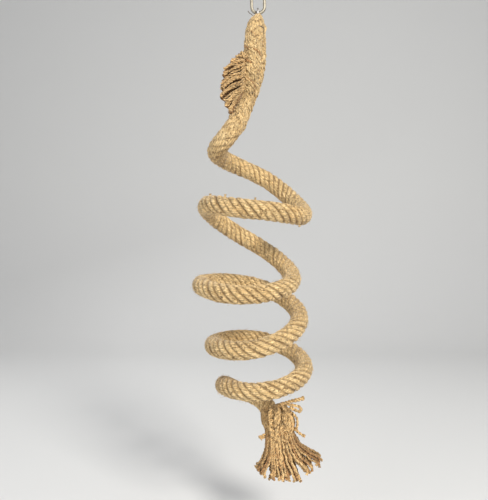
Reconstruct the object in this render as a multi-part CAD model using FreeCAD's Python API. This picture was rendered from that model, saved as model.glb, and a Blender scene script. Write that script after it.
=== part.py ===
"""Hanging rope spiral: a jute rope over a steel core wire, hung from a small quick link.

Millimetres, +Z up. The origin is the inside of the quick link's top bow, where it hangs.
The quick link lies in the XZ plane, and +Y is the back.
"""
import FreeCAD
import Part
import math
import os

Vector = FreeCAD.Vector

# Quick link
LINK_ROD_D = 3.5
LINK_LENGTH = 37.0
LINK_WIDTH = 17.8
LINK_GAP = 6.0
GAP_Z = -10.5
STUD_D = 2.6
NUT_LENGTH = 10.0
NUT_FLATS = 6.4
NUT_BORE_D = 3.6

# Rope and the wire in it
ROPE_D = 20.0
CORE_D = 3.0
CORE_ROOM = 0.1
EYE_X = -0.5
EYE_HALF = 3.9
EYE_Z = 1.5 * LINK_ROD_D - LINK_LENGTH
LEG_Y = 10.2
SHOULDER_Z = -58.0
FOLD_END_Y = -12.3
FOLD_END_Z = -104.0
# Each leg of the eye: height, diameter and distance from the middle
LEG_SECTIONS = [(-36.0, 6.6, 4.6), (-44.0, 16.0, 8.3), (SHOULDER_Z, ROPE_D, LEG_Y)]

# Coil: each turn's left X and Z, back Z, right X and Z, front Z
COIL = [
    (-48, -185.5, -204.5, 50.5, -255.5, -254.5),
    (-58, -247.5, -283.5, 38.5, -325.5, -340.5),
    (-64, -333, -336, 46.5, -367.5, -394.5),
    (-50, -399.5, -402, 51.5, -422, -437.5),
]
COIL_END_X = -39.0
COIL_END_Z = -443.5
COIL_NEXT_BACK_Z = -469.0
COIL_DEPTH = 51.0
COIL_Y = -3.0
STEPS = 14
TURN_GAP = 3.0

# The rope's route above and below the coil
NECK = [
    (EYE_X, 8.3, -44),
    (-0.6, LEG_Y, SHOULDER_Z),
    (-0.6, LEG_Y, -78),
    (-3.5, 9.5, -98),
    (-9.5, 6, -118),
    (-17, -1.5, -138),
    (-23.2, -10.5, -157),
    (-33, -16.5, -171.5),
]
TAIL = [
    (-23, 39, -462),
    (-1, 41, -469.5),
    (13.5, 23, -476),
    (16.5, 10, -490),
]
ARC_SHARE = 0.45

# Tie wires
TIE_D = 0.9
TIE_ROOM = 0.25
CROWN_TIE_Z = -38.0
UPPER_TIE_Z = -53.5
LOWER_TIE_RUN = (3, 0.55)
CROWN_TIE_END = [(-6.5, -5.5, -38), (-8.3, -5.6, -37), (-10.3, -5.8, -35.2), (-11.4, -6, -32)]

# Folded end and its tuft
FOLD_X = -4.5
FOLD_TURN_Z = -82.0
FOLD_END_X = -6.5
TUFT_OUTLINE = [
    (-14, -80),
    (-22.5, -80),
    (-30, -87.5),
    (-39.5, -98.5),
    (-42.5, -116),
    (-42.5, -128.5),
    (-34.5, -141.5),
    (-30, -145),
    (-20, -143),
]
TUFT_LAYER = 7.0
TUFT_FRONT_Y = -20.5
TUFT_ROOM = 0.4

# Tassel: centre X, half width, half depth and height of each level section
TASSEL_Y = 5.0
TASSEL_SECTIONS = [
    (25, 19, 14, -500),
    (30, 25, 19, -513),
    (37, 33.5, 24, -527),
    (29, 29, 22, -541),
    (26, 15, 12, -553),
]
CROWN_SECTIONS = [
    (29, 4, 5, -466),
    (31, 7, 9, -474),
    (31, 7.5, 10, -486),
    (31, 7.5, 9, -499),
]
YARN_D = 2.8
STRAY_YARNS = [
    [(29, -3, -466), (35, -6, -460.5), (43, -7, -458), (52, -7, -456.3)],
    [(37, 1, -467.5), (42, 1, -466.5), (48.5, 0, -470), (46.5, -2, -475.5)],
    [(39.5, 1, -476.5), (43, 0, -480.5), (44.5, 0, -487), (42, 0, -495.5)],
]
FRINGE_YARNS = [
    [(5.8, 1, -498), (2.6, 0, -499), (0.4, -1, -501.2), (1.6, -2, -504.5)],
    [(44.5, 3, -497.5), (47, 1, -499), (50, -0.5, -500.8), (52.5, -1.5, -502.5)],
]


def through(values, place):
    """The smooth line through values, at a place counted in steps from the first."""
    i = min(int(place), len(values) - 2)
    u = place - i
    a = values[max(i - 1, 0)]
    b = values[i]
    c = values[i + 1]
    d = values[min(i + 2, len(values) - 1)]
    return b + u / 2 * (c - a + u * (2 * a - 5 * b + 4 * c - d + u * (3 * (b - c) + d - a)))


def coil_points():
    """Points of the coil, turning left, back, right and front as it goes down."""
    heights = [z for turn in COIL for z in (turn[1], turn[2], turn[4], turn[5])]
    heights += [COIL_END_Z, COIL_NEXT_BACK_Z]
    sides = [x for turn in COIL for x in (turn[0], turn[3])]
    sides += [COIL_END_X, sides[-1]]
    points = []
    for step in range(len(COIL) * STEPS + 2):
        turns = step / STEPS
        half = int(2 * turns + 1e-9)
        near, far = sides[half], sides[half + 1]
        swing = math.cos(math.pi * (2 * turns - half))
        x = (near + far) / 2 + (near - far) / 2 * swing
        y = COIL_Y + COIL_DEPTH * math.sin(2 * math.pi * turns)
        points.append(Vector(x, y, through(heights, 4 * turns)))
    return points


def corner(before, at, after):
    """The arc that rounds a corner: where it starts, its middle, where it ends and its radius."""
    back = before - at
    ahead = after - at
    turn = math.pi - back.getAngle(ahead)
    reach = ARC_SHARE * min(back.Length, ahead.Length)
    radius = reach / math.tan(turn / 2)
    back.normalize()
    ahead.normalize()
    inward = back + ahead
    inward.normalize()
    middle = at + inward * (radius / math.cos(turn / 2) - radius)
    return at + back * reach, middle, at + ahead * reach, radius


def edges_between(points, start, end):
    """Runs and arcs along points, from start to end: each is (run number, share of the run)."""
    first, share_a = start
    last, share_b = end
    place = points[first] + (points[first + 1] - points[first]) * share_a
    edges = []
    for i in range(first + 1, last + 1):
        enter, middle, leave, _ = corner(points[i - 1], points[i], points[i + 1])
        if place.distanceToPoint(enter) > 1e-6:
            edges.append(Part.LineSegment(place, enter).toShape())
        edges.append(Part.Arc(enter, middle, leave).toShape())
        place = leave
    stop = points[last] + (points[last + 1] - points[last]) * share_b
    if place.distanceToPoint(stop) > 1e-6:
        edges.append(Part.LineSegment(place, stop).toShape())
    return edges


def swept(edges, outer_d, inner_d=0.0):
    """A round tube or rod along edges."""
    path = Part.Wire(edges)
    start = path.Edges[0]
    place = start.valueAt(start.FirstParameter)
    heading = start.tangentAt(start.FirstParameter)
    rims = [Part.Wire(Part.makeCircle(outer_d / 2, place, heading))]
    if inner_d:
        rims.append(Part.Wire(Part.makeCircle(inner_d / 2, place, heading)))
    profile = Part.makeFace(rims, "Part::FaceMakerBullseye")
    solid = path.makePipe(profile)
    area = math.pi * (outer_d ** 2 - inner_d ** 2) / 4
    drift = solid.Volume / (area * path.Length) - 1
    if abs(drift) > 0.01:
        print("rod of diameter", outer_d, "is off its section times length by", round(100 * drift, 1), "%")
    return solid


def rod_along(points, diameter):
    """A rod along hand-chosen points, with rounded corners."""
    route = [Vector(*p) for p in points]
    return swept(edges_between(route, (0, 0.0), (len(route) - 2, 1.0)), diameter)


def quick_link_body():
    """The bent rod, open at the gap on its right leg, with a thin stud standing down into the gap."""
    bow_r = (LINK_WIDTH - LINK_ROD_D) / 2
    top_z = LINK_ROD_D / 2 - bow_r
    low_z = 1.5 * LINK_ROD_D - LINK_LENGTH + bow_r
    gap_top = GAP_Z + LINK_GAP / 2
    gap_low = GAP_Z - LINK_GAP / 2
    edges = [
        Part.LineSegment(Vector(bow_r, 0, gap_top), Vector(bow_r, 0, top_z)).toShape(),
        Part.Arc(Vector(bow_r, 0, top_z), Vector(0, 0, top_z + bow_r), Vector(-bow_r, 0, top_z)).toShape(),
        Part.LineSegment(Vector(-bow_r, 0, top_z), Vector(-bow_r, 0, low_z)).toShape(),
        Part.Arc(Vector(-bow_r, 0, low_z), Vector(0, 0, low_z - bow_r), Vector(bow_r, 0, low_z)).toShape(),
        Part.LineSegment(Vector(bow_r, 0, low_z), Vector(bow_r, 0, gap_low)).toShape(),
    ]
    rod = swept(edges, LINK_ROD_D)
    stud_length = LINK_GAP * 0.55
    stud = Part.makeCylinder(STUD_D / 2, stud_length, Vector(bow_r, 0, gap_top - stud_length))
    return rod.fuse(stud).removeSplitter()


def quick_link_nut():
    """The long hexagonal nut that closes the gap."""
    bow_r = (LINK_WIDTH - LINK_ROD_D) / 2
    corner_r = NUT_FLATS / 2 / math.cos(math.pi / 6)
    low_z = GAP_Z - NUT_LENGTH / 2
    rim = [
        Vector(
            bow_r + corner_r * math.cos(math.radians(60 * k + 30)),
            corner_r * math.sin(math.radians(60 * k + 30)),
            low_z,
        )
        for k in range(7)
    ]
    nut = Part.Face(Part.makePolygon(rim)).extrude(Vector(0, 0, NUT_LENGTH))
    chamfer_r = corner_r * 1.02
    cone_h = NUT_LENGTH / 2
    cone = (chamfer_r - 0.6, chamfer_r + cone_h, cone_h + 0.6)
    lower = Part.makeCone(*cone, Vector(bow_r, 0, low_z))
    upper = Part.makeCone(*cone, Vector(bow_r, 0, low_z + NUT_LENGTH), Vector(0, 0, -1))
    bore = Part.makeCylinder(NUT_BORE_D / 2, NUT_LENGTH + 2, Vector(bow_r, 0, low_z - 1))
    return nut.common(lower.fuse(upper)).cut(bore)


def wire_eye_edges():
    """The core wire from the folded end, over the quick link's lower bow in a half circle."""
    up = [
        (FOLD_END_X + 0.5, FOLD_END_Y, FOLD_END_Z + 6),
        (FOLD_X, -LEG_Y, FOLD_TURN_Z),
        (FOLD_X, -LEG_Y, SHOULDER_Z),
        (EYE_X, -LEG_SECTIONS[1][2], LEG_SECTIONS[1][0]),
        (EYE_X, -EYE_HALF, EYE_Z - 3),
        (EYE_X, -EYE_HALF, EYE_Z),
    ]
    up = [Vector(*p) for p in up]
    over = Part.Arc(up[-1], Vector(EYE_X, 0, EYE_Z + EYE_HALF), Vector(EYE_X, EYE_HALF, EYE_Z)).toShape()
    return edges_between(up, (0, 0.0), (len(up) - 2, 1.0)) + [over]


def leg_x(foot_x, z):
    """Where a leg's middle stands at a height, between the eye and its foot."""
    top_z = LEG_SECTIONS[0][0]
    return EYE_X + (foot_x - EYE_X) * (top_z - z) / (top_z - SHOULDER_Z)


def shoulder(side, foot_x):
    """One tapered leg of the eye, from the quick link down to the rope's full thickness."""
    rims = [
        Part.Wire(Part.makeCircle(leg_d / 2, Vector(leg_x(foot_x, z), side * half_y, z)))
        for z, leg_d, half_y in LEG_SECTIONS
    ]
    return Part.makeLoft(rims, True, True)


def pair_tie(z):
    """A thin wire loop round both legs of the eye, one leg behind the other."""
    upper, lower = LEG_SECTIONS[:2] if z > LEG_SECTIONS[1][0] else LEG_SECTIONS[1:]
    share = (upper[0] - z) / (upper[0] - lower[0])
    leg_r = (upper[1] + share * (lower[1] - upper[1])) / 2
    half_y = upper[2] + share * (lower[2] - upper[2])
    front_x = leg_x(FOLD_X, z)
    x = (EYE_X + front_x) / 2
    slope_room = (EYE_X - front_x) / 2 + TIE_D / 2 * (lower[1] - upper[1]) / (upper[0] - lower[0])
    radius = leg_r + slope_room + TIE_ROOM + TIE_D / 2
    front = Part.Arc(
        Vector(x - radius, -half_y, z), Vector(x, -half_y - radius, z), Vector(x + radius, -half_y, z)
    )
    back = Part.Arc(
        Vector(x + radius, half_y, z), Vector(x, half_y + radius, z), Vector(x - radius, half_y, z)
    )
    right = Part.LineSegment(Vector(x + radius, -half_y, z), Vector(x + radius, half_y, z))
    left = Part.LineSegment(Vector(x - radius, half_y, z), Vector(x - radius, -half_y, z))
    return swept([e.toShape() for e in (front, right, back, left)], TIE_D)


def crown_tie():
    """The tie at the top of the eye, with its cut end standing out to the left."""
    return pair_tie(CROWN_TIE_Z).fuse(rod_along(CROWN_TIE_END, TIE_D))


def neck_tie(route):
    """A thin wire ring round the rope's neck below the fold."""
    run, share = LOWER_TIE_RUN
    heading = route[run + 1] - route[run]
    centre = route[run] + heading * share
    ring = Part.makeCircle(ROPE_D / 2 + TIE_ROOM + TIE_D / 2, centre, heading)
    return swept([ring], TIE_D)


def folded_end():
    """The short end of the rope, folded down in front of the neck."""
    points = [
        (FOLD_X, -LEG_Y, SHOULDER_Z),
        (FOLD_X, -LEG_Y, FOLD_TURN_Z),
        (FOLD_END_X, FOLD_END_Y, FOLD_END_Z),
    ]
    return rod_along(points, ROPE_D)


def tuft_layer(front_y):
    """One flat layer of the yarns that fan out of the folded end."""
    rim = [Vector(x, front_y, z) for x, z in TUFT_OUTLINE]
    return Part.Face(Part.makePolygon(rim + rim[:1])).extrude(Vector(0, TUFT_LAYER, 0))


def level_sections(sections):
    """Level ellipses, as wires."""
    wires = []
    for x, half_x, half_y, z in sections:
        ring = Part.Ellipse(Vector(0, 0, 0), max(half_x, half_y), min(half_x, half_y)).toShape()
        if half_y > half_x:
            ring.rotate(Vector(0, 0, 0), Vector(0, 0, 1), 90)
        ring.translate(Vector(x, TASSEL_Y, z))
        wires.append(Part.Wire(ring))
    return wires


def tassel_neck(route):
    """The rope's unlaid yarns, from the end of the rope into the top of the skirt."""
    heading = route[-1] - route[-2]
    rope_rim = Part.Wire(Part.makeCircle(ROPE_D / 2, route[-1], heading))
    return Part.makeLoft([rope_rim, level_sections(TASSEL_SECTIONS)[0]], True, True)


def link_parts():
    """The quick link that the rope hangs from."""
    return {"quick_link_body": quick_link_body(), "quick_link_nut": quick_link_nut()}


def wire_parts(route):
    """The core wire's two lengths, the eye and the long coil, and the room that the eye's length needs."""
    down = [Vector(EYE_X, EYE_HALF, EYE_Z), Vector(EYE_X, EYE_HALF, EYE_Z - 3)] + route
    split = (3, 0.5)
    eye = wire_eye_edges() + edges_between(down, (0, 0.0), split)
    coil = edges_between(down, split, (len(down) - 2, 0.9))
    drill = swept(eye, CORE_D + 2 * CORE_ROOM)
    return {"wire_eye": swept(eye, CORE_D), "core_wire": swept(coil, CORE_D)}, drill


def rope_parts(route, drill):
    """The rope: its eye and folded end, its neck, each turn of the coil, and its tail."""
    hole_d = CORE_D + 2 * CORE_ROOM
    first = len(NECK)
    half_gap = TURN_GAP / 2 / (route[first + 1] - route[first]).Length
    joints = [first + STEPS * k for k in range(len(COIL) + 1)]
    front, back = shoulder(-1, FOLD_X), shoulder(1, NECK[1][0])
    parts = {
        "rope_eye": Part.makeCompound([front.cut(drill), back.cut(drill)]),
        "rope_folded_end": folded_end().cut(drill),
    }
    starts = [(1, 0.0)] + [(i, 0.5 + half_gap) for i in joints]
    ends = [(i, 0.5 - half_gap) for i in joints] + [(len(route) - 2, 1.0)]
    names = ["rope_neck"] + [f"rope_turn_{k + 1}" for k in range(len(COIL))] + ["rope_tail"]
    for name, start, end in zip(names, starts, ends):
        parts[name] = swept(edges_between(route, start, end), ROPE_D, hole_d)
    parts["rope_neck"] = parts["rope_neck"].cut(drill)
    return parts


def tie_parts(route):
    """The three wires that bind the eye and the neck."""
    return {"crown_tie": crown_tie(), "upper_tie": pair_tie(UPPER_TIE_Z), "lower_tie": neck_tie(route)}


def yarn_parts(route, tail):
    """The frayed tuft at the top and the tassel at the bottom."""
    neck_room = swept(edges_between(route, (1, 0.0), (len(NECK) - 1, 0.5)), ROPE_D + 2 * TUFT_ROOM)
    fold_room = folded_end()
    neck = tassel_neck(route)
    skirt = Part.makeLoft(level_sections(TASSEL_SECTIONS), True, False)
    crown = Part.makeLoft(level_sections(CROWN_SECTIONS), True, False)
    stray = Part.makeCompound([rod_along(p, YARN_D) for p in STRAY_YARNS])
    return {
        "tuft_front_yarns": tuft_layer(TUFT_FRONT_Y).cut(fold_room).cut(neck_room),
        "tuft_back_yarns": tuft_layer(TUFT_FRONT_Y + TUFT_LAYER).cut(fold_room).cut(neck_room),
        "tassel_neck": neck,
        "tassel_skirt": skirt,
        "tassel_crown": crown.cut(neck).cut(tail).cut(stray),
        "stray_yarns": stray,
        "fringe_yarns": Part.makeCompound([rod_along(p, YARN_D) for p in FRINGE_YARNS]),
    }


def report(route, parts):
    """Print the rope's length, its tightest bends and each part's state."""
    radii = [corner(*route[i - 1:i + 2])[3] for i in range(1, len(route) - 1)]
    length = sum(edge.Length for edge in edges_between(route, (0, 0.0), (len(route) - 2, 1.0)))
    print("corner radii", [round(r) for r in radii])
    print("rope length below the eye", round(length))
    for name, shape in parts.items():
        state = "valid" if shape.isValid() else "NOT VALID"
        print(name, state, "solids", len(shape.Solids), round(shape.Volume))


def main():
    """Build every part and write one STEP file for each."""
    os.makedirs("parts", exist_ok=True)
    route = [Vector(*p) for p in NECK] + coil_points() + [Vector(*p) for p in TAIL]
    parts = link_parts()
    wires, drill = wire_parts(route)
    parts.update(wires)
    parts.update(rope_parts(route, drill))
    parts.update(tie_parts(route))
    parts.update(yarn_parts(route, parts["rope_tail"]))
    report(route, parts)
    for name, shape in parts.items():
        shape.exportStep(f"parts/{name}.step")


main()
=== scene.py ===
"""A hanging spiral of jute rope over a wire core, on a small quick link, with a frayed tuft and tassel.

Metres, in the part's own frame: the origin is inside the quick link's top bow, +Z up, +Y to the back.
"""
import math

import bpy
import numpy as np
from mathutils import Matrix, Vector


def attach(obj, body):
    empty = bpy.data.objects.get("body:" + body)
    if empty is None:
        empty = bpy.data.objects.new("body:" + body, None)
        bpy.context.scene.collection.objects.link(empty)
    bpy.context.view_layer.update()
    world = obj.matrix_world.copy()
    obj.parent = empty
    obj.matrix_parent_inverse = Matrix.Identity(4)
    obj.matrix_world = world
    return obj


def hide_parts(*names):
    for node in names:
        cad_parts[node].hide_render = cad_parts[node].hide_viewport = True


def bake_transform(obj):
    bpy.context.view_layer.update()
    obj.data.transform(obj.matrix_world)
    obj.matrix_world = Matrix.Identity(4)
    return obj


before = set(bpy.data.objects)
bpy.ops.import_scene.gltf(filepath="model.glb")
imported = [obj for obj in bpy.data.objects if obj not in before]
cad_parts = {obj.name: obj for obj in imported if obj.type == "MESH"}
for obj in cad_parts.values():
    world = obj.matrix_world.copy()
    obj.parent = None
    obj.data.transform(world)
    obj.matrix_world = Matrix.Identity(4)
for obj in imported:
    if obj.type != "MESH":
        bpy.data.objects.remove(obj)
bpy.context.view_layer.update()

# Rope
ROPE_D = 0.020
CORE_D = 0.003
LAY = 0.048
STRANDS = 6
STRAND_OFFSET = 0.0071
STRAND_RADIAL = 0.00285
STRAND_SIDE = 0.0034
YARNS_IN_STRAND = 7
YARN_COLUMNS = 6
YARN_TURN = 0.0190
YARN_RIDGE = 0.0005
BEAD = 0.0034
BEAD_RISE = 0.00028
ROPE_STEP = 0.0010
HEAD_SHARE = 0.30
NECK_TAPER = 0.0085
FOLD_TAPER = 0.0140
PINCH = 0.06
PINCH_LENGTH = 0.0022

# The rope's unevenness: the length of its waves, and how far they go
GIRTH_WANDER = (0.05, 0.012)
SHORT_GIRTH_WANDER = (0.021, 0.012)
LAY_WANDER = (0.05, 0.16)
OFFSET_WANDER = (0.03, 0.00030)
YARN_WANDER = (0.03, 0.5)
BEAD_WANDER = (0.013, 0.0016)
LUMP_WANDER = (0.018, 0.05)

# A strand's groove: how far round from its crest it and its painted shade start and are full, and how much
# painted shade its yarns' furrows and beads get
GROOVE_TURN = (0.42, 1.05)
GROOVE_CLOSING = 0.75
CLOSED_SHADE = 0.16
FURROW_SHADE = 0.42
BEAD_SHADE = 0.40
CLOSED_BEAD_SHADE = 0.35

# How closed the grooves are: at the coil's sides, down the neck and over the rope's last stretch
SIDE_CLOSED = 0.9
SIDE_REACH = (0.010, 0.034)
NECK_OPENS = (0.12, 0.21)
# The rope's last stretch is kept partly closed: this also thins its painted groove shade, a painted
# lightening of the end that lies in the coil's shadow
END_CLOSED = 0.35
END_STRETCH = 0.03

# Coil: each turn's left X and Z, back Z, right X and Z, front Z
COIL = [
    (-0.048, -0.1855, -0.2045, 0.0505, -0.2555, -0.2545),
    (-0.058, -0.2475, -0.2835, 0.0385, -0.3255, -0.3405),
    (-0.064, -0.333, -0.336, 0.0465, -0.3675, -0.3945),
    (-0.050, -0.3995, -0.402, 0.0515, -0.422, -0.4375),
]
COIL_END_X = -0.039
COIL_END_Z = -0.4435
COIL_NEXT_BACK_Z = -0.469
COIL_DEPTH = 0.051
COIL_Y = -0.003
STEPS = 14

# The rope's route above and below the coil, and its folded end
NECK = [
    (0.0022, 0.0046, -0.0365),
    (-0.0005, 0.0083, -0.044),
    (-0.0006, 0.0102, -0.058),
    (-0.0006, 0.0102, -0.078),
    (-0.0035, 0.0095, -0.098),
    (-0.0095, 0.006, -0.118),
    (-0.017, -0.0015, -0.138),
    (-0.0232, -0.0105, -0.157),
    (-0.033, -0.0165, -0.1715),
]
TAIL = [
    (-0.023, 0.039, -0.462),
    (-0.001, 0.041, -0.4695),
    (0.0135, 0.023, -0.476),
    (0.0165, 0.010, -0.490),
]
FOLD = [
    (0.0003, -0.0046, -0.0365),
    (-0.0012, -0.0083, -0.045),
    (-0.0048, -0.0102, -0.058),
    (-0.0060, -0.0102, -0.082),
    (-0.0085, -0.0090, -0.100),
    (-0.0120, -0.0050, -0.118),
    (-0.0165, -0.0015, -0.133),
]
# Places along the rope and its thickness there, as a share of the full size
THICKNESS = [
    (0.04, 0.98), (0.10, 0.96), (0.15, 1.06), (0.24, 1.0), (0.48, 1.01), (0.65, 0.98), (0.73, 0.95),
    (0.82, 1.0), (0.95, 0.97), (1.07, 0.96), (1.155, 1.0), (1.30, 0.96), (1.40, 0.93), (1.47, 0.95),
    (1.55, 1.0),
]
FOLD_THINS = (0.060, 0.100)
FOLD_LOSS = 0.3

# The core wire stops this many of the route's steps short of the rope's head and of its end
WIRE_FROM_HEAD = 20
WIRE_FROM_END = 30

# Tie wires
TIE_D = 0.0009
TIE_WAVE = 0.0004
CROWN_TIE_Z = -0.038
UPPER_TIE_Z = -0.0535
LOWER_TIE_Z = -0.109

# Loose yarns
YARN_D = 0.0029
GOLDEN_TURN = 2.39996
PLY_R = 0.66
PLY_OFFSET = 0.36
PLY_SIDES = 7
PLY_TURN = 0.0075
YARN_STEP = 0.0010
TIP_SWELL = 0.40
TUCKED_POINTS = 18
TUFT_POINTS = 30
SKIRT_POINTS = 46
CROWN_POINTS = 60

# Loose fibres
FIBRE_DENSITY = 42000.0
FIBRE_R = 0.000075
FIBRES_START = 24

# Cut ends on the coil's front: X, Z and which way they point
STUBS = [(-0.0524, -0.237, 1), (-0.034, -0.237, 1), (-0.0046, -0.240, 1), (0.0415, -0.2715, -1)]

# The tuft: its yarns' tips from the top to the bottom, its two layers, and the line the yarns part from
TUFT_TIPS = [
    (-0.0180, -0.0835),
    (-0.0215, -0.0840),
    (-0.0290, -0.0910),
    (-0.0340, -0.0980),
    (-0.0380, -0.1025),
    (-0.0395, -0.1125),
    (-0.0412, -0.1195),
    (-0.0393, -0.1235),
    (-0.0412, -0.1300),
    (-0.0370, -0.1365),
    (-0.0335, -0.1430),
    (-0.0295, -0.1475),
]
TUFT_FRONT_Y = -0.0200
TUFT_BACK_Y = -0.0130
TUFT_RIDGE = [
    (-0.0160, -0.0885),
    (-0.0182, -0.0914),
    (-0.0192, -0.0983),
    (-0.0198, -0.1101),
    (-0.0213, -0.1224),
    (-0.0240, -0.1332),
]

# The tassel: how far left and right its skirt would fan, and the clumps that its tips gather in, each with
# the share of the skirt where it ends, its place and its half width
FAN = (-0.001, 0.064)
TASSEL_CLUMPS = [
    (0.20, 0.0035, -0.5405, 0.0052),
    (0.32, 0.0165, -0.5455, 0.0035),
    (0.45, 0.0255, -0.5470, 0.0042),
    (0.54, 0.0330, -0.5455, 0.0022),
    (0.67, 0.0420, -0.5460, 0.0040),
    (0.80, 0.0530, -0.5405, 0.0036),
    (0.87, 0.0585, -0.5345, 0.0026),
    (1.00, 0.0670, -0.5335, 0.0042),
]
TASSEL_Y = 0.005
WAIST_Z = -0.500
WAIST_X = 0.0245
WAIST_HALF_X = 0.0160

# Painted shade on the crown's four layers, from the back to the front
LAYER_SHADES = (0.75, 0.45, 0.1, 0.0)

# The dark brown painted as shade deep in the jute's grooves, also used for its small random dark flecks
GROOVE_SHADE_AND_FLECK = (0.190, 0.110, 0.040)

CAMERA_PLACE = (-0.0156, -0.556, -0.295)
CAMERA_LENS = 36.0
FLOOR_Z = -0.62


# ---------------------------------------------------------------- lines

def through(values, place):
    """The smooth line through values, at a place counted in steps from the first."""
    i = min(int(place), len(values) - 2)
    u = place - i
    a = values[max(i - 1, 0)]
    b = values[i]
    c = values[i + 1]
    d = values[min(i + 2, len(values) - 1)]
    return b + u / 2 * (c - a + u * (2 * a - 5 * b + 4 * c - d + u * (3 * (b - c) + d - a)))


def coil_points():
    """Points of the coil, turning left, back, right and front as it goes down."""
    heights = [z for turn in COIL for z in (turn[1], turn[2], turn[4], turn[5])]
    heights += [COIL_END_Z, COIL_NEXT_BACK_Z]
    sides = [x for turn in COIL for x in (turn[0], turn[3])]
    sides += [COIL_END_X, sides[-1]]
    points = []
    for step in range(len(COIL) * STEPS + 2):
        turns = step / STEPS
        half = int(2 * turns + 1e-9)
        near, far = sides[half], sides[half + 1]
        swing = math.cos(math.pi * (2 * turns - half))
        x = (near + far) / 2 + (near - far) / 2 * swing
        y = COIL_Y + COIL_DEPTH * math.sin(2 * math.pi * turns)
        points.append((x, y, through(heights, 4 * turns)))
    return points


def spline_line(points, step):
    """Points a step apart on the smooth spline that points control."""
    data = bpy.data.curves.new("route", "CURVE")
    data.dimensions = "3D"
    data.resolution_u = 24
    spline = data.splines.new("NURBS")
    spline.points.add(len(points) - 1)
    for point, place in zip(spline.points, points):
        point.co = (*place, 1.0)
    spline.order_u = 3
    spline.use_endpoint_u = True
    holder = bpy.data.objects.new("route", data)
    bpy.context.scene.collection.objects.link(holder)
    mesh = bpy.data.meshes.new_from_object(holder)
    line = np.array([v.co for v in mesh.vertices])
    bpy.data.objects.remove(holder)
    bpy.data.curves.remove(data)
    bpy.data.meshes.remove(mesh)
    return evenly(line, step)


def lengths_along(line):
    gaps = np.linalg.norm(np.diff(line, axis=0), axis=1)
    return np.concatenate([[0.0], np.cumsum(gaps)])


def evenly(line, step):
    """The same line with its points evenly spaced, about a step apart."""
    run = lengths_along(line)
    places = np.linspace(0, run[-1], max(int(run[-1] / step), 2) + 1)
    return np.stack([np.interp(places, run, line[:, k]) for k in range(3)], axis=1)


def smooth_line(points, count):
    """A smooth line of count points through a few points."""
    columns = list(zip(*points))
    places = np.linspace(0, len(points) - 1, count)
    return np.array([[through(column, place) for column in columns] for place in places])


def along_outline(outline, share):
    """The point a share of the way along an outline."""
    columns = list(zip(*outline))
    return tuple(through(column, share * (len(outline) - 1)) for column in columns)


def unit(vectors):
    return vectors / np.maximum(np.linalg.norm(vectors, axis=-1, keepdims=True), 1e-12)


def carried(line, first=(1.0, 0.0, 0.0)):
    """Directions along the line and two across it, carried down the line without twist."""
    along = unit(np.gradient(line, axis=0))
    across = np.empty_like(line)
    last = np.array(first)
    for i, heading in enumerate(along):
        last = last - heading * last.dot(heading)
        last = last / np.linalg.norm(last)
        across[i] = last
    return along, across, np.cross(along, across)


def wander(run, seed, wave, amount):
    """A smooth random value along a length, within about plus or minus amount."""
    rng = np.random.default_rng(seed)
    total = np.zeros_like(run)
    for k in range(4):
        total += np.sin(run * 2 * math.pi / (wave * rng.uniform(0.6, 1.7)) + rng.uniform(0, 6.3))
    return total * amount / 4


def step_up(value, low, high):
    share = np.clip((value - low) / (high - low), 0, 1)
    return share * share * (3 - 2 * share)


# ---------------------------------------------------------------- meshes

def new_piece(name, mesh, material=None):
    piece = bpy.data.objects.new(name, mesh)
    bpy.context.scene.collection.objects.link(piece)
    if material:
        mesh.materials.append(material)
    return piece


def point_values(mesh, name, values, kind="FLOAT"):
    field = "vector" if kind == "FLOAT_VECTOR" else "value"
    layer = mesh.attributes.new(name, kind, "POINT")
    layer.data.foreach_set(field, np.asarray(values, np.float32).ravel())


def ring_mesh(name, rings, laid=None, hollow=None):
    """A closed mesh through rings of points, with its laid-out place and its painted shade value at each
    point.
    """
    count, size, _ = rings.shape
    ends = np.stack([rings[0].mean(axis=0), rings[-1].mean(axis=0)])
    points = np.concatenate([rings.reshape(-1, 3), ends])
    row = np.arange(count - 1)[:, None] * size
    column = np.arange(size)[None, :]
    after = (column + 1) % size
    quads = np.stack([row + column, row + after, row + size + after, row + size + column], axis=-1)
    quads = quads.reshape(-1, 4)
    first = np.stack([after[0], column[0], np.full(size, count * size)], axis=-1)
    last_row = (count - 1) * size
    last = np.stack([last_row + column[0], last_row + after[0], np.full(size, count * size + 1)], axis=-1)
    mesh = bpy.data.meshes.new(name)
    mesh.from_pydata(points.tolist(), [], quads.tolist() + first.tolist() + last.tolist())
    mesh.polygons.foreach_set("use_smooth", np.ones(len(mesh.polygons), bool))
    if laid is not None:
        caps = np.stack([laid[0].mean(axis=0), laid[-1].mean(axis=0)])
        point_values(mesh, "laid", np.concatenate([laid.reshape(-1, 3), caps]), "FLOAT_VECTOR")
    if hollow is not None:
        point_values(mesh, "hollow", np.concatenate([hollow.ravel(), [1.0, 1.0]]))
    mesh.update()
    return mesh


def tube(name, line, radius, columns, material, closed=False):
    """A plain round tube along a line; a closed one joins its own start."""
    if closed:
        line = np.concatenate([line, line[:1]])
    _, across, beside = carried(line)
    angle = np.arange(columns) / columns * 2 * math.pi
    ring = np.cos(angle)[None, :, None] * across[:, None, :]
    ring = ring + np.sin(angle)[None, :, None] * beside[:, None, :]
    rings = line[:, None, :] + ring * radius
    laid = np.zeros(rings.shape)
    laid[..., 0] = np.cos(angle) * radius
    laid[..., 1] = np.sin(angle) * radius
    laid[..., 2] = lengths_along(line)[:, None]
    return new_piece(name, ring_mesh(name, rings, laid, np.zeros(rings.shape[:2])), material)


# ---------------------------------------------------------------- rope

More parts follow.
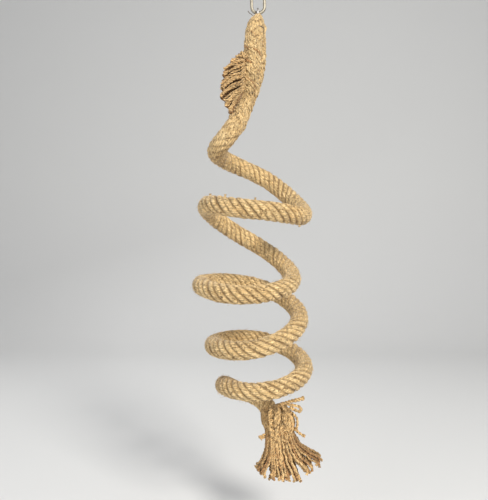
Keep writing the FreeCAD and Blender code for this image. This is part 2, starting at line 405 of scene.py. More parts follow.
def rope_size(line, ties, taper):
    """The rope's thickness along it, as a share of the full size: thin at its head, pinched at its ties."""
    run = lengths_along(line)
    size = np.interp(run, *zip(*THICKNESS))
    size = size + wander(run, 11, *GIRTH_WANDER) + wander(run, 12, *SHORT_GIRTH_WANDER)
    size = size * (HEAD_SHARE + (1 - HEAD_SHARE) * np.clip(run / taper, 0, 1) ** 0.8)
    for height in ties:
        place = run[np.argmin(np.abs(line[:, 2] - height))]
        size = size * (1 - PINCH * np.exp(-((run - place) / PINCH_LENGTH) ** 2))
    return size


def strand(name, line, size, tight, index, seed):
    """One laid strand of the rope, with the ridges of its own yarns; tight is how closed its grooves are."""
    run = lengths_along(line)
    _, across, beside = carried(line)
    turn = 2 * math.pi * (run / LAY + index / STRANDS)
    turn = turn + wander(run, seed + 40 + index, *LAY_WANDER)
    out = np.cos(turn)[:, None] * across + np.sin(turn)[:, None] * beside
    offset = STRAND_OFFSET * size + wander(run, seed + 60 + index, *OFFSET_WANDER)
    centre = line + out * offset[:, None]
    heading = unit(np.gradient(centre, axis=0))
    out = unit(out - heading * (out * heading).sum(axis=1, keepdims=True))
    side = np.cross(heading, out)
    strand_run = lengths_along(centre)
    columns = YARNS_IN_STRAND * YARN_COLUMNS
    column = np.arange(columns) / columns * 2 * math.pi
    drift = strand_run / YARN_TURN * 2 * math.pi + wander(strand_run, seed + 20 + index, *YARN_WANDER)
    angle = column[None, :] - drift[:, None]
    crest = np.sqrt(np.abs(np.sin(column * YARNS_IN_STRAND / 2)))[None, :]
    yarn = np.arange(columns) // YARN_COLUMNS
    phase = np.random.default_rng(seed + index).uniform(0, 1, YARNS_IN_STRAND)[yarn]
    stretch = strand_run + wander(strand_run, seed + 90 + index, *BEAD_WANDER)
    bead = np.abs(np.sin(math.pi * (stretch[:, None] / BEAD + phase[None, :])))
    tight = tight[:, None]
    ridge = (crest - 0.7) * YARN_RIDGE + (bead - 0.6) * BEAD_RISE * (1 + 1.2 * tight) * crest
    lumps = size * (1 + wander(run, seed + 80 + index, *LUMP_WANDER))
    radial = STRAND_RADIAL * lumps[:, None] + ridge
    sideways = STRAND_SIDE * (1 + 0.22 * tight) * lumps[:, None] + ridge
    rings = (
        centre[:, None, :]
        + (radial * np.cos(angle))[..., None] * out[:, None, :]
        + (sideways * np.sin(angle))[..., None] * side[:, None, :]
    )
    # Painted shade: dark in the grooves between strands, in the yarns' furrows and between their beads; a
    # closed groove loses most of its groove shade but is darkened evenly
    turned = np.abs((angle + math.pi) % (2 * math.pi) - math.pi)
    hollow = step_up(turned, *GROOVE_TURN) * (1 - GROOVE_CLOSING * tight)
    hollow = hollow + CLOSED_SHADE * tight + FURROW_SHADE * (1 - crest) ** 1.2
    hollow = hollow + (BEAD_SHADE + CLOSED_BEAD_SHADE * tight) * (1 - bead) ** 2
    laid = np.zeros(rings.shape)
    laid[..., 0] = np.cos(column)[None, :] * STRAND_SIDE
    laid[..., 1] = np.sin(column)[None, :] * STRAND_SIDE + index * 0.05
    laid[..., 2] = strand_run[:, None] + seed
    return ring_mesh(name, rings, laid, np.clip(hollow, 0, 1))


# ---------------------------------------------------------------- node trees

class Value:
    """A socket's value, which can be used in arithmetic."""

    def __init__(self, graph, socket):
        self.graph = graph
        self.socket = socket

    def _with(self, operation, *values):
        return self.graph.node("ShaderNodeMath", {"operation": operation}, dict(enumerate(values)))

    def __add__(self, other):
        return self._with("ADD", self, other)

    def __sub__(self, other):
        return self._with("SUBTRACT", self, other)

    def __rsub__(self, other):
        return self._with("SUBTRACT", other, self)

    def __mul__(self, other):
        return self._with("MULTIPLY", self, other)

    def __truediv__(self, other):
        return self._with("DIVIDE", self, other)

    __radd__ = __add__
    __rmul__ = __mul__


class Graph:
    """The nodes of one tree."""

    def __init__(self, tree):
        self.tree = tree

    def node(self, kind, settings=None, inputs=None, output=0):
        """A node of any kind: its settings are set first, then its inputs by name or number."""
        made = self.tree.nodes.new(kind)
        for key, value in (settings or {}).items():
            setattr(made, key, value)
        for key, value in (inputs or {}).items():
            for part in value if isinstance(value, list) else [value]:
                self.feed(made.inputs[key], part)
        return Value(self, made.outputs[output])

    def feed(self, socket, value):
        if isinstance(value, Value):
            self.tree.links.new(value.socket, socket)
        elif socket.type == "RGBA" and len(value) == 3:
            socket.default_value = (*value, 1.0)
        else:
            socket.default_value = value


class Growth(Graph):
    """A geometry tree with named inputs."""

    def __init__(self, name, sizes):
        super().__init__(bpy.data.node_groups.new(name, "GeometryNodeTree"))
        interface = self.tree.interface
        self.sockets = {"Geometry": interface.new_socket("Geometry", socket_type="NodeSocketGeometry")}
        for size, kind in {**sizes, "Material": "Material"}.items():
            self.sockets[size] = interface.new_socket(size, socket_type="NodeSocket" + kind)
        interface.new_socket("Geometry", in_out="OUTPUT", socket_type="NodeSocketGeometry")
        self.entry = self.tree.nodes.new("NodeGroupInput")

    def given(self, name):
        return Value(self, self.entry.outputs[name])

    def finish(self, shape):
        """Realise the shape, give it its material and send it out."""
        shape = self.node("GeometryNodeRealizeInstances", {}, {0: shape})
        shape = self.node("GeometryNodeSetShadeSmooth", {}, {0: shape})
        shape = self.node("GeometryNodeSetMaterial", {}, {0: shape, "Material": self.given("Material")})
        self.feed(self.tree.nodes.new("NodeGroupOutput").inputs[0], shape)
        return self

    def grown(self, name, base, material, **sizes):
        """The plain mesh that the tree makes from a base mesh."""
        holder = bpy.data.objects.new(name, base)
        bpy.context.scene.collection.objects.link(holder)
        growth = holder.modifiers.new("growth", "NODES")
        growth.node_group = self.tree
        for size, value in {**sizes, "Material": material}.items():
            growth[self.sockets[size.replace("_", " ")].identifier] = value
        shown = holder.evaluated_get(bpy.context.evaluated_depsgraph_get())
        mesh = bpy.data.meshes.new_from_object(shown)
        mesh.name = name
        holder.modifiers.remove(growth)
        bpy.data.objects.remove(holder)
        bpy.data.meshes.remove(base)
        return new_piece(name, mesh)


def spun_yarn_tree():
    """Two-ply yarn along each guide line: two round plies laid about each other."""
    tree = Growth("spun_yarn", {"Yarn radius": "Float", "Ply turn": "Float", "Ring step": "Float"})
    curve = tree.node("GeometryNodeMeshToCurve", {}, {0: tree.given("Geometry")})
    sizes = {0: curve, "Length": tree.given("Ring step")}
    curve = tree.node("GeometryNodeResampleCurve", {"mode": "LENGTH"}, sizes)
    run = tree.node("GeometryNodeSplineParameter", {}, {}, 1)
    curve = tree.node("GeometryNodeStoreNamedAttribute", {}, {0: curve, "Name": "run", "Value": run})
    start = tree.node("GeometryNodeInputNamedAttribute", {}, {"Name": "start_turn"})
    thick = tree.node("GeometryNodeInputNamedAttribute", {}, {"Name": "thick"})
    tilt = run * (2 * math.pi) / tree.given("Ply turn") + start
    curve = tree.node("GeometryNodeSetCurveTilt", {}, {0: curve, "Tilt": tilt})
    ring = tree.node("GeometryNodeCurvePrimitiveCircle", {}, {"Resolution": PLY_SIDES, "Radius": PLY_R})
    plies = [
        tree.node("GeometryNodeTransform", {}, {0: ring, "Translation": (x, 0, 0)})
        for x in (-PLY_OFFSET, PLY_OFFSET)
    ]
    profile = tree.node("GeometryNodeJoinGeometry", {}, {0: plies})
    place = tree.node("GeometryNodeInputPosition")
    store = {"data_type": "FLOAT_VECTOR"}
    marked = {0: profile, "Name": "ring", "Value": place}
    profile = tree.node("GeometryNodeStoreNamedAttribute", store, marked)
    swept = {0: curve, 1: profile, "Scale": thick * tree.given("Yarn radius"), "Fill Caps": True}
    shape = tree.node("GeometryNodeCurveToMesh", {}, swept)
    ring = tree.node("GeometryNodeInputNamedAttribute", store, {"Name": "ring"})
    run = tree.node("GeometryNodeInputNamedAttribute", {}, {"Name": "run"})
    scaled = {0: ring, "Scale": tree.given("Yarn radius")}
    across = tree.node("ShaderNodeVectorMath", {"operation": "SCALE"}, scaled)
    length = tree.node("ShaderNodeCombineXYZ", {}, {"Z": run + start})
    laid = tree.node("ShaderNodeVectorMath", {"operation": "ADD"}, {0: across, 1: length})
    shape = tree.node("GeometryNodeStoreNamedAttribute", store, {0: shape, "Name": "laid", "Value": laid})
    return tree.finish(shape)


def loose_fibre_tree():
    """Fine fibres that stand out from a surface and bend over."""
    sizes = {"Density": "Float", "Fibre length": "Float", "Fibre radius": "Float", "Seed": "Int"}
    tree = Growth("loose_fibres", sizes)
    seed = tree.given("Seed")
    spread = {0: tree.given("Geometry"), "Density": tree.given("Density"), "Seed": seed}
    scatter = tree.node("GeometryNodeDistributePointsOnFaces", {}, spread)
    turned = Value(tree, scatter.socket.node.outputs["Rotation"])
    spin_range = {0: (-0.25, -0.25, 0.0), 1: (0.25, 0.25, 6.28), "Seed": seed}
    spin = tree.node("FunctionNodeRandomValue", {"data_type": "FLOAT_VECTOR"}, spin_range)
    spin = tree.node("FunctionNodeEulerToRotation", {}, {0: spin})
    turned = tree.node("FunctionNodeRotateRotation", {"rotation_space": "LOCAL"}, {0: turned, 1: spin})
    bend = {"Resolution": 4, "Start": (0, 0, -0.15), "Middle": (0.25, 0.05, 0.45), "End": (0.95, 0.2, 0.3)}
    hair = tree.node("GeometryNodeCurveQuadraticBezier", {}, bend)
    ring = tree.node("GeometryNodeCurvePrimitiveCircle", {}, {"Resolution": 3, "Radius": 1.0})
    slim = tree.given("Fibre radius") / tree.given("Fibre length")
    hair = tree.node("GeometryNodeCurveToMesh", {}, {0: hair, 1: ring, "Scale": slim, "Fill Caps": True})
    size_range = {2: 0.45, 3: 1.25, "Seed": seed + 7}
    size = tree.node("FunctionNodeRandomValue", {"data_type": "FLOAT"}, size_range, 1)
    size = size * tree.given("Fibre length")
    placed = {0: scatter, "Instance": hair, "Rotation": turned, "Scale": size}
    fibres = tree.node("GeometryNodeInstanceOnPoints", {}, placed)
    return tree.finish(fibres)


# ---------------------------------------------------------------- materials

class Paint(Graph):
    """A node material being built."""

    def __init__(self, name):
        self.material = bpy.data.materials.new(name)
        self.material.use_nodes = True
        super().__init__(self.material.node_tree)
        self.shader = self.tree.nodes["Principled BSDF"]

    def set(self, **values):
        for key, value in values.items():
            self.feed(self.shader.inputs[key.replace("_", " ")], value)
        return self

    def noise(self, place, scale, detail=3.0, roughness=0.6):
        inputs = {"Vector": place, "Scale": scale, "Detail": detail, "Roughness": roughness}
        return self.node("ShaderNodeTexNoise", {}, inputs)

    def mix(self, factor, a, b, blend="MIX"):
        inputs = {0: factor, 6: a, 7: b}
        return self.node("ShaderNodeMix", {"data_type": "RGBA", "blend_type": blend}, inputs, 2)

    def stretched(self, place, scale):
        return self.node("ShaderNodeMapping", {}, {"Vector": place, "Scale": scale})

    def spread(self, value, low, high, to_low=0.0, to_high=1.0):
        return self.node("ShaderNodeMapRange", {}, {0: value, 1: low, 2: high, 3: to_low, 4: to_high})

    def attribute(self, name, output):
        return self.node("ShaderNodeAttribute", {"attribute_name": name}, {}, output)

    def bump(self, height, distance, strength=1.0):
        return self.node("ShaderNodeBump", {}, {"Height": height, "Distance": distance, "Strength": strength})


def jute(name, light, dark, stain, groove_share):
    """Jute yarn: fine fibres along the yarn, paler and browner stretches, small dark flecks, and painted
    shade in its grooves.
    """
    paint = Paint(name)
    laid = paint.attribute("laid", 1)
    place = paint.node("ShaderNodeTexCoord", {}, {}, 3)
    fibre = paint.noise(paint.stretched(laid, (3600, 3600, 330)), 1.0, 3.0)
    streak = paint.noise(paint.stretched(laid, (520, 520, 70)), 1.0, 2.0)
    fleck = paint.noise(paint.stretched(laid, (520, 520, 380)), 1.0, 3.0, 0.75)
    patch = paint.noise(place, 34.0, 3.0)
    speck = paint.noise(place, 380.0, 1.0, 0.8)
    groove_shade_patches = paint.noise(place, 75.0, 2.0)
    hollow = paint.attribute("hollow", 2)
    body = paint.mix(paint.spread(streak, 0.36, 0.64), dark, light)
    body = paint.mix(paint.spread(patch, 0.45, 0.75, 0.0, 0.5), body, stain)
    body = paint.mix(paint.spread(speck, 0.58, 0.66, 0.0, 0.85), body, GROOVE_SHADE_AND_FLECK)
    body = paint.mix(1.0, body, paint.spread(fibre, 0.3, 0.7, 0.76, 1.14), "MULTIPLY")
    body = paint.mix(1.0, body, paint.spread(fleck, 0.35, 0.61, 0.50, 1.22), "MULTIPLY")
    # Painted shade: the groove colour mixed in where each point's painted shade value is high, patchily, up
    # to groove_share
    body = paint.mix(hollow * paint.spread(groove_shade_patches, 0.35, 0.60, 0.6 * groove_share, groove_share), body, GROOVE_SHADE_AND_FLECK)
    height = fibre * 0.5 + fleck * 0.5
    paint.set(
        Base_Color=body,
        Roughness=paint.spread(fibre, 0.0, 1.0, 0.66, 0.90),
        Normal=paint.bump(height, 0.0006, 1.0),
        Specular_IOR_Level=0.25,
        Sheen_Weight=0.2,
        Sheen_Roughness=0.5,
    )
    return paint.material


def metal(name, colour, dull, roughness, scale):
    """Plated steel with faint draw lines and dull patches."""
    paint = Paint(name)
    place = paint.node("ShaderNodeTexCoord", {}, {}, 3)
    patch = paint.noise(place, 260.0 * scale, 4.0)
    scratch = paint.noise(paint.stretched(place, (2600 * scale, 2600 * scale, 180 * scale)), 1.0, 2.0)
    paint.set(
        Base_Color=paint.mix(paint.spread(patch, 0.4, 0.7), colour, dull),
        Metallic=1.0,
        Roughness=paint.spread(scratch, 0.0, 1.0, roughness, roughness + 0.22),
        Normal=paint.bump(scratch, 0.00005, 0.5),
    )
    return paint.material


def paper(name, colour):
    """Plain studio paper, very slightly uneven."""
    paint = Paint(name)
    place = paint.node("ShaderNodeTexCoord", {}, {}, 3)
    tone = paint.spread(paint.noise(place, 3.0, 2.0), 0.0, 1.0, 0.985, 1.0)
    paint.set(Base_Color=paint.mix(1.0, colour, tone, "MULTIPLY"), Roughness=0.9)
    return paint.material


# ---------------------------------------------------------------- camera, light and floor

def make_camera():
    data = bpy.data.cameras.new("camera")
    data.lens = CAMERA_LENS
    data.sensor_width = 36.0
    data.clip_start = 0.01
    camera = bpy.data.objects.new("camera", data)
    bpy.context.scene.collection.objects.link(camera)
    camera.location = CAMERA_PLACE
    camera.rotation_euler = (math.pi / 2, 0, 0)
    bpy.context.scene.camera = camera


def soft_light(name, place, size, power, colour=(1, 1, 1)):
    """A round soft light turned to the middle of the object."""
    data = bpy.data.lights.new(name, "AREA")
    data.shape = "DISK"
    data.size = size
    data.energy = power
    data.color = colour
    lamp = bpy.data.objects.new(name, data)
    bpy.context.scene.collection.objects.link(lamp)
    lamp.location = place
    toward = Vector((0.0, 0.0, -0.28)) - Vector(place)
    lamp.rotation_euler = toward.to_track_quat("-Z", "Y").to_euler()


def make_studio():
    world = bpy.data.worlds.new("studio")
    bpy.context.scene.world = world
    world.use_nodes = True
    world.node_tree.nodes["Background"].inputs["Color"].default_value = (0.93, 0.95, 1.0, 1.0)
    world.node_tree.nodes["Background"].inputs["Strength"].default_value = 0.34
    soft_light("key", (0.85, -1.40, 0.60), 0.60, 39.0, (1.0, 0.98, 0.94))
    soft_light("fill", (-0.9, -0.8, -0.2), 0.9, 6.5, (0.97, 0.98, 1.0))
    soft_light("rim", (-0.4, 0.9, 0.5), 0.6, 5.0)
    width, deep, back, curve, wall = 4.0, 3.0, 1.6, 0.6, 3.0
    steps = 12
    profile = [(-deep, FLOOR_Z), (back - curve, FLOOR_Z)]
    for k in range(1, steps + 1):
        a = k / steps * math.pi / 2
        profile.append((back - curve + curve * math.sin(a), FLOOR_Z + curve - curve * math.cos(a)))
    profile.append((back, FLOOR_Z + wall))
    points = [(x, y, z) for x in (-width, width) for y, z in profile]
    n = len(profile)
    faces = [(i, n + i, n + i + 1, i + 1) for i in range(n - 1)]
    mesh = bpy.data.meshes.new("floor")
    mesh.from_pydata(points, [], faces)
    mesh.polygons.foreach_set("use_smooth", [True] * len(faces))
    new_piece("floor", mesh, paper("floor_paper", (0.72, 0.72, 0.71)))


make_camera()
make_studio()
bpy.context.scene.view_settings.view_transform = "Standard"

jute_rope = jute("jute_rope", (0.870, 0.645, 0.335), (0.690, 0.472, 0.212), (0.640, 0.400, 0.155), 0.86)
jute_yarn = jute("jute_yarn", (0.890, 0.625, 0.300), (0.660, 0.410, 0.165), (0.560, 0.290, 0.100), 0.92)
# A darker brown jute: real brown stain on the folded end's stained yarns, and painted shade on the tuft's
# back yarns and the tassel's inner yarns
jute_brown = jute("jute_brown", (0.620, 0.360, 0.150), (0.420, 0.210, 0.075), (0.360, 0.160, 0.050), 0.80)
link_steel = metal("link_steel", (0.43, 0.39, 0.31), (0.30, 0.26, 0.20), 0.46, 1.0)
core_steel = metal("core_steel", (0.47, 0.45, 0.43), (0.33, 0.31, 0.29), 0.42, 2.0)
tie_steel = metal("tie_steel", (0.30, 0.26, 0.22), (0.12, 0.095, 0.075), 0.45, 2.0)
spun_yarn = spun_yarn_tree()
loose_fibre = loose_fibre_tree()


# ---------------------------------------------------------------- the rope

def lay_strands(name, line, size, tight, seed):
    """The six strands of the rope along a line."""
    pieces = []
    for k in range(STRANDS):
        label = f"{name}_{k + 1}"
        pieces.append(new_piece(label, strand(label, line, size, tight, k, seed), jute_rope))
    return pieces


def bend(piece):
    """Bake the piece's place into its mesh."""
    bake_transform(piece)


rope_line = spline_line(NECK + coil_points() + TAIL, ROPE_STEP)
rope_run = lengths_along(rope_line)
neck_size = rope_size(rope_line, (UPPER_TIE_Z, LOWER_TIE_Z), NECK_TAPER)
from_side = np.abs(rope_line[:, 1] - COIL_Y) + wander(rope_run, 31, 0.06, 0.006)
closed_sides = SIDE_CLOSED - SIDE_CLOSED * step_up(from_side, *SIDE_REACH)
closed = np.maximum(1 - step_up(rope_run, *NECK_OPENS), closed_sides)
tight = np.where(rope_run < rope_run[-1] - END_STRETCH, closed, END_CLOSED)
strands = lay_strands("rope_strand", rope_line, neck_size, tight, 0)
for piece in strands:
    bend(piece)
turns = [f"rope_turn_{k + 1}" for k in range(len(COIL))]
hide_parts("rope_eye", "rope_neck", *turns, "rope_tail")
wire = tube("core_wire_run", rope_line[WIRE_FROM_HEAD:-WIRE_FROM_END:2], CORE_D / 2, 10, core_steel)
bend(wire)
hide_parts("core_wire")

fold_line = spline_line(FOLD, ROPE_STEP)
fold_run = lengths_along(fold_line)
fold_size = rope_size(fold_line, (UPPER_TIE_Z,), FOLD_TAPER)
fold_size = fold_size * (1 - FOLD_LOSS * step_up(fold_run, *FOLD_THINS))
fold_strands = lay_strands("folded_strand", fold_line, fold_size, np.ones(len(fold_line)), 300)
for piece in fold_strands:
    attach(piece, "rope_top")
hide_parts("rope_folded_end")


# ---------------------------------------------------------------- ties

def pair_loop(z, leg_r, half_y, x, count=60):
    """A level loop round both legs of the eye."""
    angle = np.linspace(0, 2 * math.pi, count, endpoint=False)
    y = leg_r * np.sin(angle)
    y = y + np.clip(y / leg_r * 3, -1, 1) * half_y
    return np.stack([x + leg_r * np.cos(angle), y, z + TIE_WAVE * np.sin(3 * angle)], axis=1)


def rope_loop(z, radius, count=48):
    """A loop square round the rope where its line passes a height."""
    _, across, beside = carried(rope_line)
    at = np.argmin(np.abs(rope_line[:400, 2] - z))
    angle = np.linspace(0, 2 * math.pi, count, endpoint=False)[:, None]
    return rope_line[at] + radius * (np.cos(angle) * across[at] + np.sin(angle) * beside[at])


TIE_END = [
    (-0.0050, -0.0070, -0.0385),
    (-0.0072, -0.0075, -0.0366),
    (-0.0094, -0.0068, -0.0350),
    (-0.0112, -0.0060, -0.0322),
]
ties = {
    "crown_tie": pair_loop(CROWN_TIE_Z, leg_r=0.0052, half_y=0.0045, x=-0.0007),
    "upper_tie": pair_loop(UPPER_TIE_Z, leg_r=0.0090, half_y=0.0092, x=-0.0026),
    "lower_tie": rope_loop(LOWER_TIE_Z, radius=0.0090),
}
for name, line in ties.items():
    piece = tube(name + "_wire", line, TIE_D / 2, 8, tie_steel, True)
    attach(piece, "rope_top")
    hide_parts(name)
tie_end = tube("crown_tie_end", smooth_line(TIE_END, 20), TIE_D / 2, 8, tie_steel)
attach(tie_end, "rope_top")


# ---------------------------------------------------------------- loose yarns

def crinkled(line, seed, amount, wave):
    """A yarn's line with the small waves that the lay left in it, still at its start."""
    run = lengths_along(line)
    _, across, beside = carried(line, (0.3, 1.0, 0.2))
    grow = np.clip(run / 0.012, 0, 1)
    first = wander(run, seed, wave, amount) * grow
    second = wander(run, seed + 5000, wave, amount) * grow
    return line + across * first[:, None] + beside * second[:, None]


def yarns(name, guides, finish=jute_yarn):
    """A piece of two-ply yarns, one along each guide: its line, its painted shade, mostly from its depth in
    the bundle, and its thickness.
    """
    points, edges, thick, start, hollow = [], [], [], [], []
    for index, (line, depth, size) in enumerate(guides):
        first = len(points)
        points += line.tolist()
        edges += [(first + k, first + k + 1) for k in range(len(line) - 1)]
        end = 1 + TIP_SWELL * step_up(np.linspace(0, 1, len(line)), 0.82, 1.0)
        thick += (end * size * (1 + wander(lengths_along(line), index, 0.012, 0.08))).tolist()
        start += [index * 2.39] * len(line)
        hollow += np.broadcast_to(depth, len(line)).tolist()
    base = bpy.data.meshes.new(name + "_guides")
    base.from_pydata(points, edges, [])
    point_values(base, "thick", thick)
    point_values(base, "start_turn", start)
    point_values(base, "hollow", hollow)
    piece = spun_yarn.grown(
        name, base, finish, Yarn_radius=YARN_D / 2, Ply_turn=PLY_TURN, Ring_step=YARN_STEP
    )
    return piece


def tucked_guides(line, size, low, high, count, seed):
    """Short yarns tucked over and under the strands of the rope between two lengths along it."""
    rng = np.random.default_rng(seed)
    run = lengths_along(line)
    _, across, beside = carried(line)
    share = np.linspace(0, 1, TUCKED_POINTS)
    guides = []
    for k in range(count):
        start = low + (high - low) * (k + rng.uniform(0, 1)) / count
        angle = k * GOLDEN_TURN - share * rng.uniform(1.3, 2.1)
        places = start + share * rng.uniform(0.006, 0.014)
        at = [np.interp(places, run, values) for values in (*line.T, *across.T, *beside.T, size)]
        rise = 0.10 + 0.09 * step_up(places, 0.02, 0.05)
        radius = at[9] * ROPE_D / 2 * (0.83 + rise * np.sin(np.linspace(0, math.pi, TUCKED_POINTS)))
        centre, first, second = np.stack(at[0:3], 1), np.stack(at[3:6], 1), np.stack(at[6:9], 1)
        out = first * np.cos(angle)[:, None] + second * np.sin(angle)[:, None]
        guides.append((centre + out * radius[:, None], rng.uniform(0.0, 0.45), rng.uniform(0.65, 0.95)))
    return guides


def stub_guides(places):
    """Short cut ends that stand out of the rope's front, above or below it."""
    guides = []
    front = np.where(rope_line[:, 1] < -0.02)[0]
    for x, z, up in places:
        at = front[np.argmin(np.hypot(rope_line[front, 0] - x, rope_line[front, 2] - z))]
        rise = np.linspace(0.0080, 0.0118, 8)[:, None] * np.array([0.12, -0.25, up])
        guides.append((rope_line[at] + rise, 0.1, 0.8))
    return guides


tucked = {
    "neck_tucked_yarn": (tucked_guides(rope_line, neck_size, 0.012, 0.125, 118, 640), jute_rope),
    "folded_tucked_yarn": (tucked_guides(fold_line, fold_size, 0.010, 0.084, 84, 670), jute_rope),
    "folded_stained_yarn": (tucked_guides(fold_line, fold_size, 0.018, 0.080, 17, 690), jute_brown),
}
for name, (guides, finish) in tucked.items():
    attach(yarns(name, guides, finish), "rope_top")
bend(yarns("rope_stub_yarn", stub_guides(STUBS), jute_rope))


def tuft_guides(count, layer_y, seed, thick, dark):
    """Yarns that leave the folded end, cross the ridge and fan out to the tuft's tips."""
    rng = np.random.default_rng(seed)
    guides = []
    for k in range(count):
        share = (k + rng.uniform(0.1, 0.9)) / count
        tip_x, tip_z = along_outline(TUFT_TIPS, share)
        share = float(np.clip(share + rng.uniform(-0.02, 0.02), 0, 1))
        ridge_x, ridge_z = along_outline(TUFT_RIDGE, share)
        reach = rng.uniform(0.84, 1.0)
        tip_x = ridge_x + (tip_x - ridge_x) * reach
        tip_z = ridge_z + (tip_z - ridge_z) * reach
        arch = rng.uniform(0.0008, 0.0032) * (1 - 0.7 * share)
        points = [
            (-0.0085 - 0.0040 * share, -0.0105, -0.0840 - 0.0320 * share),
            (ridge_x + 0.0035, layer_y + 0.0030, ridge_z + 0.0015 + 0.0040 * share),
            (
                ridge_x + rng.uniform(0.0, 0.002),
                layer_y - rng.uniform(0.0, 0.0035),
                ridge_z + rng.uniform(-0.001, 0.001),
            ),
            (
                (ridge_x + tip_x) / 2 + 0.3 * arch,
                layer_y - rng.uniform(0.0, 0.003),
                (ridge_z + tip_z) / 2 + arch,
            ),
            (tip_x, layer_y + rng.uniform(-0.003, 0.005), tip_z),
        ]
        line = crinkled(smooth_line(points, TUFT_POINTS), seed + k, 0.0008, 0.016)
        # Painted shade along each yarn: darker where it leaves the folded end and crosses the ridge, plus its
        # layer's darkness and more towards the tuft's bottom
        depth = np.interp(np.linspace(0, 1, TUFT_POINTS), [0, 0.3, 0.55, 0.8, 1], [0.5, 0.2, 0.45, 0.15, 0.0])
        shade = depth * rng.uniform(0.4, 1.2) + dark + 0.25 * share
        guides.append((line, shade, thick * rng.uniform(0.82, 1.2)))
    return guides


tuft_front = yarns("tuft_front_yarn", tuft_guides(25, TUFT_FRONT_Y, 700, 0.92, 0.0))
# The tuft's back yarns are in the darker brown jute with added darkness, as painted shade behind the front
# layer
tuft_back = yarns("tuft_back_yarn", tuft_guides(58, TUFT_BACK_Y, 760, 1.20, 0.30), jute_brown)
for piece, node in ((tuft_front, "tuft_front_yarns"), (tuft_back, "tuft_back_yarns")):
    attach(piece, "rope_top")
    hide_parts(node)


def clump_tip(share, depth, rng):
    """Where a yarn of the skirt ends, in the clump that gathers its share of the width."""
    k = next(k for k, clump in enumerate(TASSEL_CLUMPS) if share <= clump[0])
    low = TASSEL_CLUMPS[k - 1][0] if k else 0.0
    inside = 2 * (share - low) / (TASSEL_CLUMPS[k][0] - low) - 1
    _, x, z, half = TASSEL_CLUMPS[k]
    x += half * (0.8 * inside + 0.35 * rng.uniform(-1, 1))
    z += 0.0040 * rng.uniform(-0.8, 1.0)
    return x, TASSEL_Y + depth * 0.0165, z


def skirt_guides(count, low, high, seed, top):
    """Yarns of the tassel's skirt between two shares of its width; top gives the points each starts from."""
    rng = np.random.default_rng(seed)
    guides = []
    for k in range(count):
        share = low + (high - low) * (k + rng.uniform(0.1, 0.9)) / count
        side = 2 * share - 1
        depth = math.sqrt(max(0.04, 1 - side * side)) * math.sin((k * 0.618 % 1 - 0.5) * math.pi)
        tip = clump_tip(share, depth, rng)
        waist_x = WAIST_X + side * WAIST_HALF_X
        fan = waist_x + (FAN[0] + (FAN[1] - FAN[0]) * share - waist_x) * (0.46 if share > 0.25 else 0.20)
        middle = (fan, TASSEL_Y + depth * 0.0160, WAIST_Z + (tip[2] - WAIST_Z) * 0.5)
        curl = rng.uniform(-1, 1, 3) * (0.0022, 0.0022, 0.0012)
        end = (tip[0] + curl[0], tip[1] + curl[1], tip[2] + 0.0004 + curl[2])
        bent = (tip[0] - 0.6 * curl[0] + 0.12 * (fan - tip[0]), tip[1] - 0.5 * curl[1], tip[2] + 0.0050)
        waist = (waist_x, TASSEL_Y + depth * 0.0125, WAIST_Z)
        points = top(share, depth, rng) + [waist, middle, bent, end]
        line = crinkled(smooth_line(points, SKIRT_POINTS), seed + k, 0.0010 if share > 0.2 else 0.0005, 0.013)
        # Painted shade: darker near the top, under the crown, and on the yarns behind the front ones
        shade = np.interp(np.linspace(0, 1, SKIRT_POINTS), [0, 0.5, 1], [0.3, 0.1, 0.0])
        shade = shade * rng.uniform(0.6, 1.3) + 0.6 * step_up(depth, -0.9, -0.2)
        guides.append((line, shade, rng.uniform(0.85, 1.15)))
    return guides


def from_rope_end(share, depth, rng):
    """Yarns on the left are the rope's own, and leave its surface just above its end."""
    facing = np.array([2.3 * share - 1.0, depth, 0.0])
    points = []
    for back, radius in ((18, 0.0082), (10, 0.0101), (1, 0.0103)):
        heading = rope_line[-back] - rope_line[-back - 1]
        heading = heading / np.linalg.norm(heading)
        out = facing - heading * facing.dot(heading)
        points.append(tuple(rope_line[-back] + out / np.linalg.norm(out) * radius))
    return points


def from_crown(share, depth, rng):
    """Yarns on the right come down from under the crown."""
    x = 0.0185 + 0.020 * share + rng.uniform(-0.002, 0.002)
    return [(x, TASSEL_Y + depth * 0.007, -0.4790), (x + 0.0015, TASSEL_Y + depth * 0.009, -0.4890)]


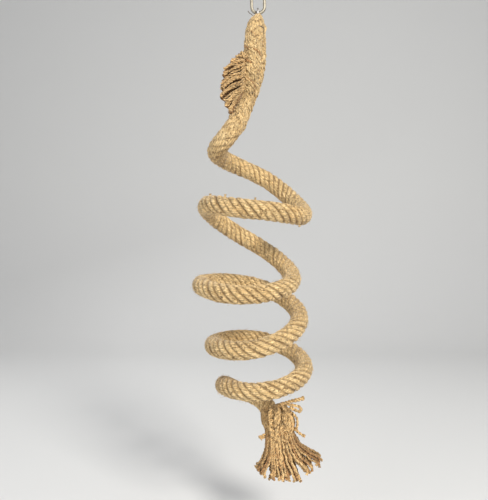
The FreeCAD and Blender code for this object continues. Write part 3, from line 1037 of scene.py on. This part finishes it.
def crown_guides(count, seed):
    """Yarns that rise out of the rope's end, bend over and hang down, some turned up again at the end."""
    rng = np.random.default_rng(seed)
    guides = []
    for k in range(count):
        side = 2 * (k * 0.618 % 1) - 1
        layer = k % len(LAYER_SHADES)
        y = TASSEL_Y - 0.0050 - 0.0022 * layer
        x = 0.0248 + side * 0.0112 + rng.uniform(-0.0012, 0.0012)
        low = -0.4930 + rng.uniform(-0.0090, 0.0080)
        points = [
            (0.0150 + 0.003 * side, 0.0110, -0.4810),
            (0.0175 + 0.003 * side, 0.0010, -0.4735),
            (0.0235 + 0.0045 * side, y + 0.0015, -0.4672 + 0.0012 * side + rng.uniform(-0.0010, 0.0010)),
            (0.0260 + 0.0080 * side, y, -0.4730),
            (x + rng.uniform(-0.0022, 0.0022), y - 0.001, (low - 0.4730) / 2),
            (x, y - 0.0005, low),
        ]
        if layer > 1:
            turn = rng.choice((-1, 1)) * rng.uniform(0.0016, 0.0030)
            points += [
                (x + 0.8 * turn, y - 0.0014, low - 0.0028),
                (x + 1.9 * turn, y - 0.0005, low - 0.0006),
                (x + 2.2 * turn, y + 0.0005, low + 0.0070),
                (x + 1.4 * turn, y + 0.0025, low + 0.0150),
            ]
        line = crinkled(smooth_line(points, CROWN_POINTS), seed + k, 0.0012, 0.012)
        # Painted shade: darker where the yarns rise out of the rope's end, lighter down their hanging part,
        # plus their layer's shade
        shade = np.interp(np.linspace(0, 1, CROWN_POINTS), [0, 0.25, 0.5, 1], [0.6, 0.5, 0.15, 0.05])
        shade = shade * rng.uniform(0.6, 1.3) + LAYER_SHADES[layer]
        guides.append((line, shade, rng.uniform(0.88, 1.10)))
    return guides


# Strays and the skirt's short ends: thickness, then points
STRAYS = [
    (1.40, [
        (0.0200, -0.002, -0.4690),
        (0.0290, -0.004, -0.4640),
        (0.0400, -0.007, -0.4600),
        (0.0505, -0.007, -0.4575),
    ]),
    (1.10, [
        (0.0250, -0.003, -0.4665),
        (0.0330, -0.005, -0.4625),
        (0.0425, -0.006, -0.4608),
        (0.0500, -0.006, -0.4590),
    ]),
    (1.30, [
        (0.0270, -0.002, -0.4655),
        (0.0370, -0.002, -0.4665),
        (0.0460, -0.002, -0.4693),
        (0.0472, -0.002, -0.4735),
        (0.0440, -0.002, -0.4738),
        (0.0350, -0.001, -0.4695),
    ]),
    (1.20, [
        (0.0290, 0.000, -0.4690),
        (0.0365, 0.001, -0.4755),
        (0.0425, 0.000, -0.4815),
        (0.0440, 0.000, -0.4875),
        (0.0415, 0.001, -0.4960),
    ]),
]
FRINGE = [
    (1.30, [
        (0.0140, 0.003, -0.4960),
        (0.0080, 0.001, -0.5005),
        (0.0042, 0.000, -0.5022),
        (0.0012, -0.001, -0.5030),
    ]),
    (1.00, [
        (0.0120, 0.003, -0.5010),
        (0.0080, 0.001, -0.5035),
        (0.0050, 0.000, -0.5040),
        (0.0030, -0.001, -0.5050),
    ]),
    (1.25, [
        (0.0360, 0.003, -0.4900),
        (0.0425, 0.003, -0.4962),
        (0.0480, 0.000, -0.5000),
        (0.0520, -0.001, -0.5022),
    ]),
]


def loose_ends(lines, seed):
    """Guides for yarns that stand away from the bundle, nearly straight and hardly shaded."""
    guides = []
    for k, (thick, points) in enumerate(lines):
        guides.append((crinkled(smooth_line(points, 26), seed + k, 0.0004, 0.012), 0.05, thick))
    return guides


tassel_pieces = {
    "tassel_inner_yarn": (skirt_guides(40, 0.05, 0.97, 1200, from_crown), None),
    "tassel_left_yarn": (skirt_guides(36, 0.02, 0.45, 900, from_rope_end), "tassel_neck"),
    "tassel_skirt_yarn": (skirt_guides(60, 0.22, 0.99, 960, from_crown), "tassel_skirt"),
    "tassel_crown_yarn": (crown_guides(26, 1040), "tassel_crown"),
    "stray_yarn": (loose_ends(STRAYS, 1100), "stray_yarns"),
    "fringe_yarn": (loose_ends(FRINGE, 1120), "fringe_yarns"),
}
for name, (guides, node) in tassel_pieces.items():
    # Pieces without a part of their own, the tassel's inner yarns, get the darker brown jute as painted shade
    # between the skirt's yarns
    piece = yarns(name, guides, jute_yarn if node else jute_brown)
    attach(piece, "rope_tail_body")
    if node:
        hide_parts(node)


# ---------------------------------------------------------------- loose fibres

def rope_skin(line):
    """A plain tube at the rope's surface, for its loose fibres to stand on."""
    skin = tube("skin", line, ROPE_D / 2 - 0.0003, 10, None)
    mesh = skin.data
    bpy.data.objects.remove(skin)
    return mesh


rope_fibres = loose_fibre.grown(
    "rope_fibres", rope_skin(rope_line[FIBRES_START::6]), jute_rope,
    Density=FIBRE_DENSITY, Fibre_length=0.0042, Fibre_radius=FIBRE_R, Seed=5,
)
bend(rope_fibres)
fold_fibres = loose_fibre.grown(
    "folded_end_fibres", rope_skin(fold_line[FIBRES_START::4]), jute_rope,
    Density=FIBRE_DENSITY, Fibre_length=0.0038, Fibre_radius=FIBRE_R, Seed=9,
)
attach(fold_fibres, "rope_top")

shown_nodes = {"quick_link_body": link_steel, "quick_link_nut": link_steel, "wire_eye": core_steel}
for name, finish in shown_nodes.items():
    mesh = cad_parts[name].data
    mesh.materials.clear()
    mesh.materials.append(finish)
